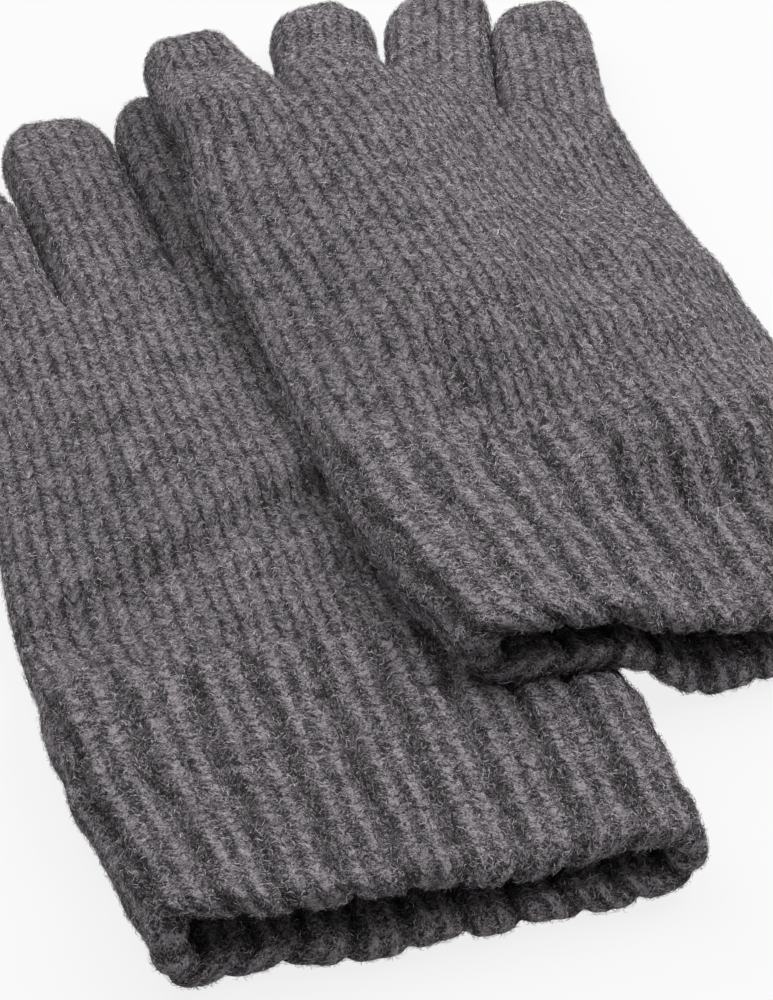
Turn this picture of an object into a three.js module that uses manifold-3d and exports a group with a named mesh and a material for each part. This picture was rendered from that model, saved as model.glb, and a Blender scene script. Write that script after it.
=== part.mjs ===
// A pair of knitted touchscreen gloves lying palm down, the right glove across the right third of the left.
// Millimetres, +Z up, +Y from the left glove's cuff to its fingertips, origin under the middle of the pair.
//
// Each glove is worked out flat, in (s, y, z): s across the hand towards the little finger, y from the
// cuff's mouth to the fingertips, z up from the palm. placeGlove turns and mirrors that onto the table, and
// lifts every point by the height of whatever the glove lies on there.

import * as THREE from "three";
import Module from "manifold-3d";
import { mergeVertices } from "three/addons/utils/BufferGeometryUtils.js";

const wasm = await Module();
wasm.setup();

// ---------- driving dimensions ----------

const HAND_WIDTH = 99;
const CUFF_WIDTH = 97;
const CUFF_LENGTH = 66;
const MOUTH_HEIGHT = 17; // the doubled rib cuff stands open
const WRIST_HEIGHT = 14;
const HAND_HEIGHT = 12; // the hand and fingers lie flat, but not pressed
const TAPER_LENGTH = 14; // from the wrist's height to the hand's

const KNIT = 2; // the plain knit's thickness
const RIB = 2.2; // the rib's thickness
const CLEARANCE = 0.4; // between neighbouring pieces
const REST_GAP = 0.8; // between one glove and what lies on it

const FINGER_PITCH = 24.6;
const FINGER_WIDTH = 23.5;
const FINGER_TIP_RADIUS = 13;
const TOUCH_TIP_LENGTH = 18; // the conductive yarn's share of the thumb and index finger

const THUMB_WIDTH = 23;
const THUMB_HEIGHT = 8.8;
const THUMB_LENGTH = 60;
const THUMB_TIP_RADIUS = 12;
const THUMB_ROOT_Y = 105;
const THUMB_SLIT = 22; // the opening between the hand and the thumb, along the hand
const SIDE_THUMB_HEADING = THREE.MathUtils.degToRad(22); // from the hand's length, out to the side
const TUCKED_THUMB_HEADING = THREE.MathUtils.degToRad(9); // from the hand's length, under the palm
const TUCKED_THUMB_S = -35; // where the tucked thumb joins the palm, across the hand
const TUCKED_HOLE_RADIUS = 8;

const FACING_LENGTH = 58; // how far the cuff's turned-in layer reaches
const LABEL = { width: 14, length: 15, thickness: 0.6, s: 31, y: 6 };

// The fingers, from the thumb side: where each begins, its length, and its lean to the little finger.
const LEFT_FINGERS = {
  index: { root: 191, length: 57, lean: 0 },
  middle: { root: 195, length: 61, lean: 0 },
  ring: { root: 192, length: 60, lean: 0 },
  little: { root: 186, length: 50, lean: 0 },
};
const RIGHT_FINGERS = {
  index: { root: 171, length: 50, lean: 7 },
  middle: { root: 178, length: 57, lean: 17 },
  ring: { root: 177, length: 54, lean: 17.5 },
  little: { root: 170, length: 49, lean: 18 },
};

// Where the right glove's mouth lies on the left glove's plan, and how far it is turned.
const RIGHT_MOUTH = new THREE.Vector2(69.5, 48);
const RIGHT_TURN = THREE.MathUtils.degToRad(5);
const RIGHT_CUFF_LENGTH = 62;

const GREY = { color: 0x5f5e63, roughness: 0.95, metalness: 0 };
const RIB_GREY = { color: 0x565559, roughness: 0.95, metalness: 0 };
const TOUCH_GREY = { color: 0x515055, roughness: 0.85, metalness: 0.05 };
const LABEL_GREY = { color: 0x2e2e31, roughness: 0.6, metalness: 0 };

// ---------- heights ----------

const ease = (from, to, value) => THREE.MathUtils.smoothstep(value, from, to);
const fade = (from, to, value) => 1 - ease(from, to, value);

// How thick the glove lies, at a distance y from its mouth.
function gloveHeight(y, cuffLength) {
  if (y < cuffLength) {
    return THREE.MathUtils.lerp(MOUTH_HEIGHT, WRIST_HEIGHT, Math.sqrt(Math.max(0, y) / cuffLength));
  }
  return THREE.MathUtils.lerp(WRIST_HEIGHT, HAND_HEIGHT, ease(cuffLength, cuffLength + TAPER_LENGTH, y));
}

// The table is flat under the left glove.
const tableHeight = () => 0;

// The right glove lies on the left glove, on both thumbs, and sinks to the table beyond them.
function drapedHeight(x, y) {
  const edge = HAND_WIDTH / 2;
  const tips = LEFT_FINGERS.middle.root + LEFT_FINGERS.middle.length;
  const slope = THREE.MathUtils.lerp(20, 52, ease(70, 190, y)); // steep at the cuff, gentle further on
  const onHand = fade(edge - 3.5, edge - 3.5 + slope, x) * fade(tips - 10, tips + 20, y);
  const leftGlove = (gloveHeight(y, CUFF_LENGTH) + REST_GAP) * onHand;
  const alongThumb = ease(78, 92, y) * fade(156, 196, y);
  const onThumb = alongThumb * fade(edge + 40, edge + 62, x);
  const leftThumb = (THUMB_HEIGHT + REST_GAP) * onThumb * (1 - onHand);
  const { s, y: along } = onRightGlove(x, y);
  const underPalm = fade(-11, 14, s) * ease(RIGHT_CUFF_LENGTH, 91, along) * fade(169, 196, along);
  const ownThumb = (THUMB_HEIGHT + 1.4 * REST_GAP) * underPalm;
  return leftGlove + leftThumb + ownThumb;
}

// A point of the table, measured on the right glove.
function onRightGlove(x, y) {
  const p = new THREE.Vector2(x, y).sub(RIGHT_MOUTH).rotateAround(new THREE.Vector2(), -RIGHT_TURN);
  return { s: p.x, y: p.y };
}

// ---------- the two gloves' places ----------

const LEFT = {
  name: "left",
  fingers: LEFT_FINGERS,
  cuffLength: CUFF_LENGTH,
  side: -1, // the little finger lies towards -X
  grid: 20, // it lies flat, so a few stations hold its shape
  place: (x, y) => new THREE.Vector2(x, y),
  support: tableHeight,
};
const RIGHT = {
  name: "right",
  fingers: RIGHT_FINGERS,
  cuffLength: RIGHT_CUFF_LENGTH,
  side: 1,
  grid: 11,
  place: (x, y) =>
    new THREE.Vector2(x, y).rotateAround(new THREE.Vector2(), RIGHT_TURN).add(RIGHT_MOUTH),
  support: drapedHeight,
};

// One point of a glove, from its flat form to where it lies.
function placeGlove(glove, s, y, z) {
  const p = glove.place(glove.side * s, y);
  return new THREE.Vector3(p.x, p.y, z + glove.support(p.x, p.y));
}

// ---------- shapes ----------

// A flattened tube's section: flat above and below, with round sides. Points are (across, up).
function flatSection(width, height, flatSteps, arcSteps) {
  const radius = Math.min(height, width) / 2;
  const flat = width / 2 - radius;
  const points = [];
  for (let i = 0; i < flatSteps; i += 1) {
    points.push([-flat + (2 * flat * i) / flatSteps, 0]);
  }
  for (let i = 0; i < arcSteps; i += 1) {
    const a = -Math.PI / 2 + (Math.PI * i) / arcSteps;
    points.push([flat + radius * Math.cos(a), height / 2 + (height / 2) * Math.sin(a)]);
  }
  for (let i = 0; i < flatSteps; i += 1) {
    points.push([flat - (2 * flat * i) / flatSteps, height]);
  }
  for (let i = 0; i < arcSteps; i += 1) {
    const a = Math.PI / 2 + (Math.PI * i) / arcSteps;
    points.push([-flat + radius * Math.cos(a), height / 2 + (height / 2) * Math.sin(a)]);
  }
  return points;
}

// A closed solid through a row of stations: { s, y, heading, width, height, lift, bow }. The heading turns
// a station from facing along y (0) to facing across the hand, and the bow moves its points along y.
function loft(glove, stations, flatSteps = 4, arcSteps = 4) {
  const rings = stations.map((at) =>
    flatSection(at.width, at.height, flatSteps, arcSteps).map(([across, up]) => {
      const s = at.s + across * Math.cos(at.heading ?? 0);
      const y = at.y - across * Math.sin(at.heading ?? 0);
      return placeGlove(glove, s, y + (at.bow ? at.bow(s) : 0), at.lift + up);
    }),
  );
  const count = rings[0].length;
  const points = rings.flat();
  const triangles = [];
  for (let r = 0; r + 1 < rings.length; r += 1) {
    for (let i = 0; i < count; i += 1) {
      const a = r * count + i;
      const b = r * count + ((i + 1) % count);
      triangles.push([a, b, b + count], [a, b + count, a + count]);
    }
  }
  // An end is a ladder between the section's lower and upper halves, so it can follow a bent section.
  const last = (rings.length - 1) * count;
  for (let i = -arcSteps / 2; i < flatSteps + arcSteps / 2; i += 1) {
    const [a, b, c, d] = [i, i + 1, 2 * flatSteps + arcSteps - i - 1, 2 * flatSteps + arcSteps - i].map(
      (k) => (k + count) % count,
    );
    for (const [p, q, r] of [[a, b, c], [a, c, d]].filter((corners) => new Set(corners).size === 3)) {
      triangles.push([r, q, p], [last + p, last + q, last + r]);
    }
  }
  // These triangles face out on a mirrored glove, and in on the other.
  const facing = glove.side < 0 ? triangles : triangles.map(([a, b, c]) => [a, c, b]);
  const geometry = new THREE.BufferGeometry();
  const coordinates = points.flatMap((p) => [p.x, p.y, p.z]);
  geometry.setAttribute("position", new THREE.Float32BufferAttribute(coordinates, 3));
  geometry.setIndex(facing.flat());
  return solid(geometry);
}

// A three.js geometry as a manifold solid, and back.
function solid(geometry) {
  const bare = geometry.clone();
  bare.deleteAttribute("normal");
  bare.deleteAttribute("uv");
  const merged = mergeVertices(bare, 1e-5);
  return new wasm.Manifold(
    new wasm.Mesh({
      numProp: 3,
      vertProperties: new Float32Array(merged.attributes.position.array),
      triVerts: new Uint32Array(merged.index.array),
    }),
  );
}

function namedMesh(name, shape, look) {
  const { vertProperties, triVerts, numProp } = shape.getMesh();
  const positions = [];
  for (let i = 0; i < vertProperties.length; i += numProp) {
    positions.push(vertProperties[i], vertProperties[i + 1], vertProperties[i + 2]);
  }
  const geometry = new THREE.BufferGeometry();
  geometry.setAttribute("position", new THREE.Float32BufferAttribute(positions, 3));
  geometry.setIndex(Array.from(triVerts));
  geometry.computeVertexNormals();
  const mesh = new THREE.Mesh(geometry, new THREE.MeshStandardMaterial(look));
  mesh.name = name;
  return mesh;
}

// Distances that keep clear of both ends, so that no two stations are nearly the same.
const between = (from, to, distances) =>
  distances.filter((distance) => distance > from + 0.5 && distance < to - 0.5);

// The distances from one end to the other, through a grid that all layers share, so that they stay parallel.
function gridThrough(from, to, step) {
  const grid = Array.from({ length: Math.ceil(to / step) }, (_, i) => i * step);
  return [from, ...between(from, to, grid), to];
}

// ---------- the cuff ----------

// The cuff's own outline, taken in by inset on every side, from y = from to y = to.
function cuffStations(glove, from, to, inset) {
  return gridThrough(from, to, glove.grid).map((y) => {
    const width = THREE.MathUtils.lerp(CUFF_WIDTH, HAND_WIDTH, y / glove.cuffLength);
    const height = gloveHeight(y, glove.cuffLength);
    return { s: 0, y, width: width - 2 * inset, height: height - 2 * inset, lift: inset };
  });
}

function cuffLayer(glove, from, to, inset, thickness) {
  const outer = loft(glove, cuffStations(glove, from, to, inset), 8, 4);
  const inner = loft(glove, cuffStations(glove, from - 1, to + 1, inset + thickness), 8, 4);
  return outer.subtract(inner);
}

const cuff = (glove) => cuffLayer(glove, 0, glove.cuffLength - CLEARANCE, 0, RIB);

const cuffFacing = (glove) =>
  cuffLayer(glove, 1, (FACING_LENGTH * glove.cuffLength) / CUFF_LENGTH, RIB + CLEARANCE, KNIT);

// The blank care label lies on the facing's palm side, inside the mouth.
function careLabel(glove) {
  const box = new THREE.BoxGeometry(LABEL.width, LABEL.length, LABEL.thickness);
  const lift = RIB + CLEARANCE + KNIT + CLEARANCE + LABEL.thickness / 2;
  box.translate(glove.side * LABEL.s, LABEL.y + LABEL.length / 2, lift);
  const position = box.attributes.position;
  for (let i = 0; i < position.count; i += 1) {
    const p = placeGlove(glove, glove.side * position.getX(i), position.getY(i), position.getZ(i));
    position.setXYZ(i, p.x, p.y, p.z);
  }
  return solid(box);
}

// ---------- the hand ----------

// Where the fingers begin, across the hand: a smooth line through the four roots.
function rootLine(glove, s) {
  const roots = Object.values(glove.fingers).map((finger) => finger.root);
  const place = THREE.MathUtils.clamp(s / FINGER_PITCH + 1.5, 0, roots.length - 1);
  const low = Math.min(Math.floor(place), roots.length - 2);
  return THREE.MathUtils.lerp(roots[low], roots[low + 1], ease(0, 1, place - low));
}

// The hand's tube runs straight, then bows to end along the line of the roots.
function handStations(glove, from, to, inset) {
  const lowest = Math.min(...Object.values(glove.fingers).map((finger) => finger.root));
  return gridThrough(from, to, glove.grid).map((y) => {
    const height = gloveHeight(y, glove.cuffLength);
    const share = ease(lowest - 2 * glove.grid, lowest, y);
    const bow = (s) => share * (rootLine(glove, s) - lowest);
    return { s: 0, y, width: HAND_WIDTH - 2 * inset, height: height - 2 * inset, lift: inset, bow };
  });
}

function hand(glove) {
  const start = glove.cuffLength;
  const end = Math.min(...Object.values(glove.fingers).map((finger) => finger.root)) - CLEARANCE;
  const outer = loft(glove, handStations(glove, start, end, 0), 12, 4);
  const inner = loft(glove, handStations(glove, start - 1, end + 1, KNIT), 12, 4);
  return outer.subtract(inner);
}

// ---------- the fingers ----------

// A finger's stations from its root: a straight run, and a round tip unless it stops before it.
function fingerStations(glove, name, from, to, inset) {
  const finger = glove.fingers[name];
  const middle = (Object.keys(glove.fingers).indexOf(name) - 1.5) * FINGER_PITCH;
  const radius = FINGER_TIP_RADIUS - inset;
  const straight = finger.length - FINGER_TIP_RADIUS;
  const slope = Math.tan(THREE.MathUtils.degToRad(finger.lean));
  const at = (along, share) => ({
    s: middle + along * slope,
    y: finger.root + along,
    width: (FINGER_WIDTH - 2 * inset) * share,
    height: (HAND_HEIGHT - 2 * inset) * (0.35 + 0.65 * share),
    lift: inset + ((HAND_HEIGHT - 2 * inset) * 0.65 * (1 - share)) / 2,
    bow: (s) => fade(0, straight, along) * (rootLine(glove, s - along * slope) - finger.root),
  });
  const run = Math.min(to, straight);
  const shares = from < run ? [0, 1 / 3, 2 / 3, 1] : [];
  const stations = shares.map((t) => at(THREE.MathUtils.lerp(from, run, t), 1));
  const shareAt = (along) => Math.sqrt(Math.max(0, 1 - ((along - straight) / radius) ** 2));
  if (from >= run) {
    stations.push(at(from, shareAt(Math.max(from, straight))));
  }
  if (to > straight) {
    for (const turn of [28, 50, 68, 82]) {
      const along = straight + radius * Math.sin(THREE.MathUtils.degToRad(turn));
      if (along > from + 0.5 && along < to) {
        stations.push(at(along, shareAt(along)));
      }
    }
  }
  return stations;
}

// The straight, open part of a finger, or the whole finger with its closed tip.
function finger(glove, name, to = Infinity) {
  const outer = loft(glove, fingerStations(glove, name, 0, to, 0), 4, 4);
  const inner = loft(glove, fingerStations(glove, name, -1, to === Infinity ? to : to + 1, KNIT), 4, 4);
  return outer.subtract(inner);
}

const touchTipStart = (glove) => glove.fingers.index.length - TOUCH_TIP_LENGTH;

function indexTouchTip(glove) {
  const from = touchTipStart(glove) + CLEARANCE;
  const outer = loft(glove, fingerStations(glove, "index", from, Infinity, 0), 4, 4);
  const inner = loft(glove, fingerStations(glove, "index", from - 1, Infinity, KNIT), 4, 4);
  return outer.subtract(inner);
}

// ---------- the thumbs ----------

// The stations round a thumb's tip, as distances past the straight part over the tip's radius.
const TIP_TURNS = [28, 50, 68, 82].map((turn) => Math.sin(THREE.MathUtils.degToRad(turn)));

// The left thumb lies out to the side: it leaves the hand's edge squarely and turns to the fingers.
function sideThumbStations(from, to, inset) {
  const turnLength = 18;
  const straight = THUMB_LENGTH - THUMB_TIP_RADIUS;
  const radius = THUMB_TIP_RADIUS - inset;
  const headingAt = (along) =>
    THREE.MathUtils.lerp(Math.PI / 2, SIDE_THUMB_HEADING, ease(0, turnLength, Math.max(0, along)));
  const at = (along) => {
    let s = -HAND_WIDTH / 2 - CLEARANCE;
    let y = THUMB_ROOT_Y;
    const steps = 40;
    for (let i = 0; i < steps; i += 1) {
      const heading = headingAt(((i + 0.5) * along) / steps);
      s -= (Math.sin(heading) * along) / steps;
      y += (Math.cos(heading) * along) / steps;
    }
    const share = along > straight ? Math.sqrt(Math.max(0, 1 - ((along - straight) / radius) ** 2)) : 1;
    return {
      s,
      y,
      heading: -headingAt(along),
      width: (THUMB_WIDTH - 2 * inset) * share,
      height: (THUMB_HEIGHT - 2 * inset) * (0.35 + 0.65 * share),
      lift: inset + ((THUMB_HEIGHT - 2 * inset) * 0.65 * (1 - share)) / 2,
    };
  };
  const turning = [0, 4, 8, 12, 16, 22, 30, straight];
  const round = TIP_TURNS.map((turn) => straight + radius * turn);
  const alongs = [from, ...between(from, to, [...turning, ...round])];
  if (to < THUMB_LENGTH) {
    alongs.push(to);
  }
  return alongs.map(at);
}

function sideThumb(glove, from, to, opensAtEnd) {
  const outer = loft(glove, sideThumbStations(from, to, 0), 4, 4);
  const inner = loft(glove, sideThumbStations(from - 1, opensAtEnd ? to + 1 : to, KNIT), 4, 4);
  return outer.subtract(inner);
}

// The right thumb is folded under the palm, and joins it through a round hole in the palm's knit.
function tuckedThumbStations(from, to, inset) {
  const back = -THUMB_WIDTH / 2 + inset;
  const straight = THUMB_LENGTH - THUMB_TIP_RADIUS;
  const radius = THUMB_TIP_RADIUS - inset;
  const at = (along) => {
    const past = along > straight ? (along - straight) / radius : Math.min(0, along) / -back;
    const share = Math.sqrt(Math.max(0, 1 - past * past));
    return {
      s: TUCKED_THUMB_S + along * Math.sin(TUCKED_THUMB_HEADING),
      y: THUMB_ROOT_Y + along * Math.cos(TUCKED_THUMB_HEADING),
      heading: TUCKED_THUMB_HEADING,
      width: (THUMB_WIDTH - 2 * inset) * share,
      height: (THUMB_HEIGHT - 2 * inset) * (0.35 + 0.65 * share),
      lift: inset + ((THUMB_HEIGHT - 2 * inset) * 0.65 * (1 - share)) / 2,
    };
  };
  const heel = TIP_TURNS.map((turn) => back * turn).reverse();
  const round = TIP_TURNS.map((turn) => straight + radius * turn);
  const alongs = between(from, to, [...heel, 0, 14, 28, straight, ...round]);
  if (from > back) {
    alongs.unshift(from);
  }
  if (to < THUMB_LENGTH) {
    alongs.push(to);
  }
  return alongs.map(at);
}

// The tucked thumb lies level on the glove below it, so its height doesn't follow the palm's.
const TUCKED = { ...RIGHT, support: () => HAND_HEIGHT + REST_GAP };

function tuckedThumb(from, to, opensAtEnd) {
  const outer = loft(TUCKED, tuckedThumbStations(from, to, 0), 4, 4);
  const [innerFrom, innerTo] = opensAtEnd ? [from, to + 1] : [from - 1, to];
  const inner = loft(TUCKED, tuckedThumbStations(innerFrom, innerTo, KNIT), 4, 4);
  return outer.subtract(inner);
}

// ---------- the holes where the thumbs join ----------

function sideSlit() {
  const box = new THREE.BoxGeometry(16, THUMB_SLIT - 2 * KNIT, THUMB_HEIGHT - 2 * KNIT);
  box.translate(HAND_WIDTH / 2, THUMB_ROOT_Y, THUMB_HEIGHT / 2);
  return solid(box);
}

function palmHole() {
  const depth = HAND_HEIGHT + THUMB_HEIGHT;
  const cylinder = new THREE.CylinderGeometry(TUCKED_HOLE_RADIUS, TUCKED_HOLE_RADIUS, depth, 16);
  cylinder.rotateX(Math.PI / 2);
  const centre = placeGlove(TUCKED, TUCKED_THUMB_S, THUMB_ROOT_Y, THUMB_HEIGHT - KNIT - CLEARANCE);
  cylinder.translate(centre.x, centre.y, centre.z + depth / 2 - 2);
  const ceiling = new THREE.BoxGeometry(60, 60, 40);
  const roof = placeGlove(RIGHT, TUCKED_THUMB_S, THUMB_ROOT_Y, HAND_HEIGHT / 2);
  ceiling.translate(roof.x, roof.y, roof.z + 20);
  return solid(cylinder).subtract(solid(ceiling));
}

// ---------- the pair ----------

const pair = new THREE.Group();

function addGlove(glove) {
  const add = (part, shape, look) => pair.add(namedMesh(`${glove.name}_${part}`, shape, look));
  add("cuff", cuff(glove), RIB_GREY);
  add("cuff_facing", cuffFacing(glove), RIB_GREY);
  add("care_label", careLabel(glove), LABEL_GREY);
  add("hand", hand(glove).subtract(glove === LEFT ? sideSlit() : palmHole()), GREY);
  add("index_finger", finger(glove, "index", touchTipStart(glove)), GREY);
  add("index_touch_tip", indexTouchTip(glove), TOUCH_GREY);
  for (const name of ["middle", "ring", "little"]) {
    add(`${name}_finger`, finger(glove, name), GREY);
  }
  const cap = THUMB_LENGTH - TOUCH_TIP_LENGTH;
  if (glove === LEFT) {
    add("thumb", sideThumb(glove, 0, cap, true), GREY);
    add("thumb_touch_tip", sideThumb(glove, cap + CLEARANCE, THUMB_LENGTH, false), TOUCH_GREY);
  } else {
    add("thumb", tuckedThumb(-THUMB_WIDTH, cap, true).subtract(palmHole()), GREY);
    add("thumb_touch_tip", tuckedThumb(cap + CLEARANCE, THUMB_LENGTH, false), TOUCH_GREY);
  }
}

addGlove(LEFT);
addGlove(RIGHT);

// The origin goes under the middle of the pair's box.
const box = new THREE.Box3().setFromObject(pair);
const middle = box.getCenter(new THREE.Vector3());
pair.position.set(-middle.x, -middle.y, -box.min.z);

// ---------- how the gloves move ----------

// A finger turns about a line across its root: along the palm's face to bend down, along the back to bend
// up. The lines of one glove are parallel, so its fingers bend side by side, and each clears its root.
function fingerHinge(glove, name, tilt) {
  const up = tilt !== 0;
  const finger = glove.fingers[name];
  const centre = (Object.keys(glove.fingers).indexOf(name) - 1.5) * FINGER_PITCH;
  const unit = placeGlove(glove, 1, 0, 0).sub(placeGlove(glove, 0, 0, 0));
  const across = unit.setZ(0).multiplyScalar(glove.side);
  const axis = across.normalize().add(new THREE.Vector3(0, 0, -Math.tan(tilt))).normalize();
  const outward = new THREE.Vector3(0, 0, up ? 1 : -1).projectOnPlane(axis).normalize();
  const face = up ? HAND_HEIGHT : 0;
  const line = [-0.5, -0.25, 0, 0.25, 0.5].map((share) =>
    placeGlove(glove, centre + share * FINGER_WIDTH, finger.root, face),
  );
  const rises = line.map((p) => p.clone().sub(line[2]).dot(outward));
  const point = line[2].clone().addScaledVector(outward, Math.max(...rises) + CLEARANCE);
  const child = `${glove.name}_${name}`;
  return { name: `${child}_bend`, child, point, axis: up ? axis : axis.negate() };
}

const RIGHT_BEND_TILT = THREE.MathUtils.degToRad(10); // the right palm slopes down to the table

const hinges = [
  ...Object.keys(LEFT_FINGERS).map((name) => fingerHinge(LEFT, name, 0)),
  ...Object.keys(RIGHT_FINGERS).map((name) => fingerHinge(RIGHT, name, RIGHT_BEND_TILT)),
  {
    name: "left_thumb_bend",
    child: "left_thumb",
    point: new THREE.Vector3(HAND_WIDTH / 2, THUMB_ROOT_Y, -CLEARANCE),
    axis: new THREE.Vector3(0, 1, 0),
  },
  {
    name: "right_thumb_swing",
    child: "right_thumb",
    point: placeGlove(TUCKED, TUCKED_THUMB_S, THUMB_ROOT_Y, 0),
    axis: new THREE.Vector3(0, 0, 1),
  },
];
pair.userData.hinges = hinges.map((hinge) => ({ ...hinge, point: hinge.point.add(pair.position) }));

export default pair;
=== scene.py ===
"""A pair of grey melange knitted touchscreen gloves, the right one lying across the left one.

Each glove is worked out flat in millimetres, as (s, y, z): s across the hand towards the little
finger, y from the cuff's mouth to the fingertips and z up from the palm. Glove.place turns that
onto the table, and lifts every point over whatever the glove lies on.
"""

import math

import bpy
import numpy as np
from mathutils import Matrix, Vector


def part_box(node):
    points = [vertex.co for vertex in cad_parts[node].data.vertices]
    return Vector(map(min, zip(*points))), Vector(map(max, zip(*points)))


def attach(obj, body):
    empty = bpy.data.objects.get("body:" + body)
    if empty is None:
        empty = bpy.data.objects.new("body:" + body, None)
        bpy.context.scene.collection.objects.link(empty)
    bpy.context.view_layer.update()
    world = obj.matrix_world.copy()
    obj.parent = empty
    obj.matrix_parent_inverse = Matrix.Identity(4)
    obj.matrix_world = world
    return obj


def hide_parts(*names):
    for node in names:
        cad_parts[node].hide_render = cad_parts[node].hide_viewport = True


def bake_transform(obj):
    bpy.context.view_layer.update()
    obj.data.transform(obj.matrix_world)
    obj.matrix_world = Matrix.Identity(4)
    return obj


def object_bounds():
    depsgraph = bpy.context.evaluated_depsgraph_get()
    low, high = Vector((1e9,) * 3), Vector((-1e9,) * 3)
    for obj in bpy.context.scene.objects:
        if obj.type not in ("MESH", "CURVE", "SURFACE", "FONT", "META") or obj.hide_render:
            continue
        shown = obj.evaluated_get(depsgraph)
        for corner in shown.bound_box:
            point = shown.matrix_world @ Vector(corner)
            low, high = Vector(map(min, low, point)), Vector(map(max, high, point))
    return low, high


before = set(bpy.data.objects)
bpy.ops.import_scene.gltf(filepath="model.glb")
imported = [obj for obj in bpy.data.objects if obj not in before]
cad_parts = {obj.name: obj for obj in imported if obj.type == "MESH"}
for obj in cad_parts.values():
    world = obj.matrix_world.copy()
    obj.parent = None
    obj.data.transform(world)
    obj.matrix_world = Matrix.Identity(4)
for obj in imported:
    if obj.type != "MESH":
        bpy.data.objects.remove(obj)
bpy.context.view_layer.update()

MM = 0.001

# ---------- the gloves' dimensions, in millimetres ----------

CUFF_WIDTH = 97.0
HAND_WIDTH = 98.4
MOUTH_HEIGHT = 17.0
WRIST_HEIGHT = 14.0
HAND_HEIGHT = 12.0
TAPER_LENGTH = 14.0
LIP = 5.2  # the doubled cuff's thickness
REST_GAP = 0.8
LEFT_CUFF_LENGTH = 66.0
RIGHT_CUFF_LENGTH = 62.0

FINGER_PITCH = 24.6
FINGER_WIDTH = 23.7
TIP_RADIUS = 15.5
TOUCH_TIP_LENGTH = 18.0
NAMES = ("index", "middle", "ring", "little")

THUMB_WIDTH = 23.0
THUMB_HEIGHT = 8.8
TUCKED_THUMB_HEIGHT = 6.6  # pressed flatter, so that it slides between the gloves
THUMB_LENGTH = 60.0
THUMB_TIP_RADIUS = 12.0
THUMB_ROOT_Y = 105.0
SIDE_THUMB_HEADING = math.radians(22)
TUCKED_THUMB_HEADING = math.radians(9)
TUCKED_THUMB_S = -35.0

RIGHT_TURN = math.radians(5)

CUFF_STITCHES = 80  # round the cuff: twenty ribs of two knit and two purl
HAND_STITCHES = 68
FINGER_STITCHES = 18
THUMB_STITCHES = 17
ROW = 2.45  # one row of stitches, along the glove
WALE = 3.095  # one stitch of the hand, across it
CUFF_POINTS_PER_STITCH = 6
HAND_ROWS = 156
STEPS = 30  # points over half of a finger's section
LAST_TURN = math.radians(89.0)  # a closed tip's last row, just short of its pole
SMALLEST_SHARE = 0.0004

# ---------- how the gloves lie, in millimetres ----------

SLOPE_START = 46.0  # where the right glove starts to slope off the left one
LEFT_GLOVE_EDGE = 49.5
LEFT_GLOVE_TIPS = 256.0
LEFT_THUMB_FROM = (78, 92)  # the stretch where the right glove's drape rises over the left thumb
LEFT_THUMB_TO = (156, 196)
PRESSED_DEPTH = 6.5  # of the left glove's edge, under the right cuff
SUNK_DEPTH = 7.0  # of the right hand's thumb side
RIB_SHIFT = 8.0  # the right rib's start, towards its mouth
TUCKED_THUMB_LIFT = 1.2
CROWN = 1.6  # how far the back of a hand swells over the plain shape

# ---------- how many loose fibres a piece has ----------

CUFF_FIBRES = 90000
HAND_FIBRES = 85000
FINGER_FIBRES = 13000
INDEX_FIBRES = (9000, 4000)  # the finger and its touch tip
THUMB_FIBRES = (5000, 2000)


def smooth(low, high, x):
    t = np.clip((x - low) / (high - low), 0, 1)
    return t * t * (3 - 2 * t)


def between(rise, fall, x):
    """1 between two spans: it runs up over the first one and down over the second."""
    return smooth(*rise, x) * (1 - smooth(*fall, x))


def lerp(a, b, t):
    return a + (b - a) * t


def wobble(seed, x, y, size):
    """Smooth noise of about -1 to 1, with features of that size."""
    rng = np.random.default_rng(seed)
    total = np.zeros(np.broadcast(x, y).shape)
    for _ in range(8):
        heading, phase = rng.uniform(0, 2 * math.pi, 2)
        k = 2 * math.pi / size * rng.uniform(0.6, 1.5)
        total += np.sin(k * (x * math.cos(heading) + y * math.sin(heading)) + phase)
    return total / 3


# ---------- where the gloves lie ----------

left_low, left_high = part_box("left_cuff")
right_low, right_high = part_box("right_cuff")
ORIGIN = np.array([(left_low.x + left_high.x) / 2, left_low.y, left_low.z]) / MM
RIGHT_MOUTH = (
    right_high.x / MM - math.cos(RIGHT_TURN) * CUFF_WIDTH / 2 - ORIGIN[0],
    right_low.y / MM + math.sin(RIGHT_TURN) * CUFF_WIDTH / 2 - ORIGIN[1],
)


def glove_height(y, cuff_length):
    on_cuff = lerp(MOUTH_HEIGHT, WRIST_HEIGHT, np.sqrt(np.clip(y / cuff_length, 0, 1)))
    on_hand = lerp(WRIST_HEIGHT, HAND_HEIGHT, smooth(cuff_length, cuff_length + TAPER_LENGTH, y))
    return np.where(y < cuff_length, on_cuff, on_hand)


def table_height(x, y):
    return np.zeros_like(x)


def on_left_glove(x, y):
    """1 where the right glove's palm lies on the left glove, down to 0 where it is on the table."""
    return 1 - smooth(SLOPE_START, SLOPE_START + lerp(20, 52, smooth(70, 190, y)), x)


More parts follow.
